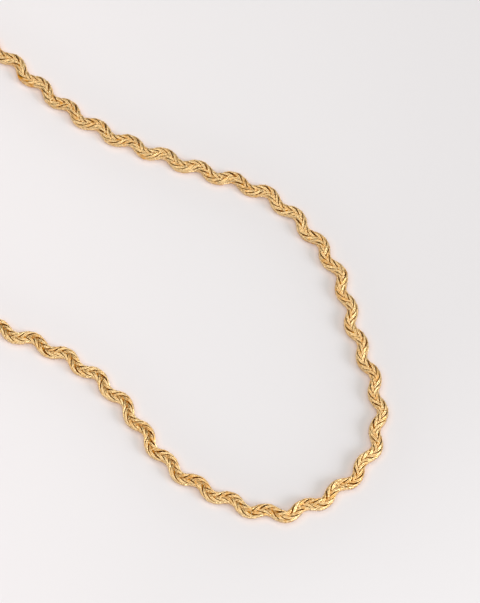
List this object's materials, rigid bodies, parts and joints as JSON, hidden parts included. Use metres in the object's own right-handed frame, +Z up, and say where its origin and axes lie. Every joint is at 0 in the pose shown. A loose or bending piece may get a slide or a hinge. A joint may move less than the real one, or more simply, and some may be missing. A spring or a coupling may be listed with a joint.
{
  "type": "choker",
  "caption": "Choker of a thick plaited wheat chain set in an even flat wave all along, lying as a whole loop, closed by a claw clasp and jump rings between end caps.",
  "frame": {"origin": "middle of the loop's box, on the surface that it lies on", "axes": "+Z up from the surface, -Y towards the front of the neck, +Y towards the clasp at the back, +X to the right seen from above"},
  "size_m": [0.0764, 0.1634, 0.0031],
  "materials": {
    "chain_metal": "gold-plated wire, bright polished, woven",
    "fitting_metal": "gold-plated, polished"
  },
  "bodies": {
    "root": {"chain": "chain_metal", "end_cap_right": "fitting_metal", "end_cap_left": "fitting_metal", "jump_ring_right": "fitting_metal", "jump_ring_left": "fitting_metal", "clasp": "fitting_metal"}
  },
  "joints": []
}
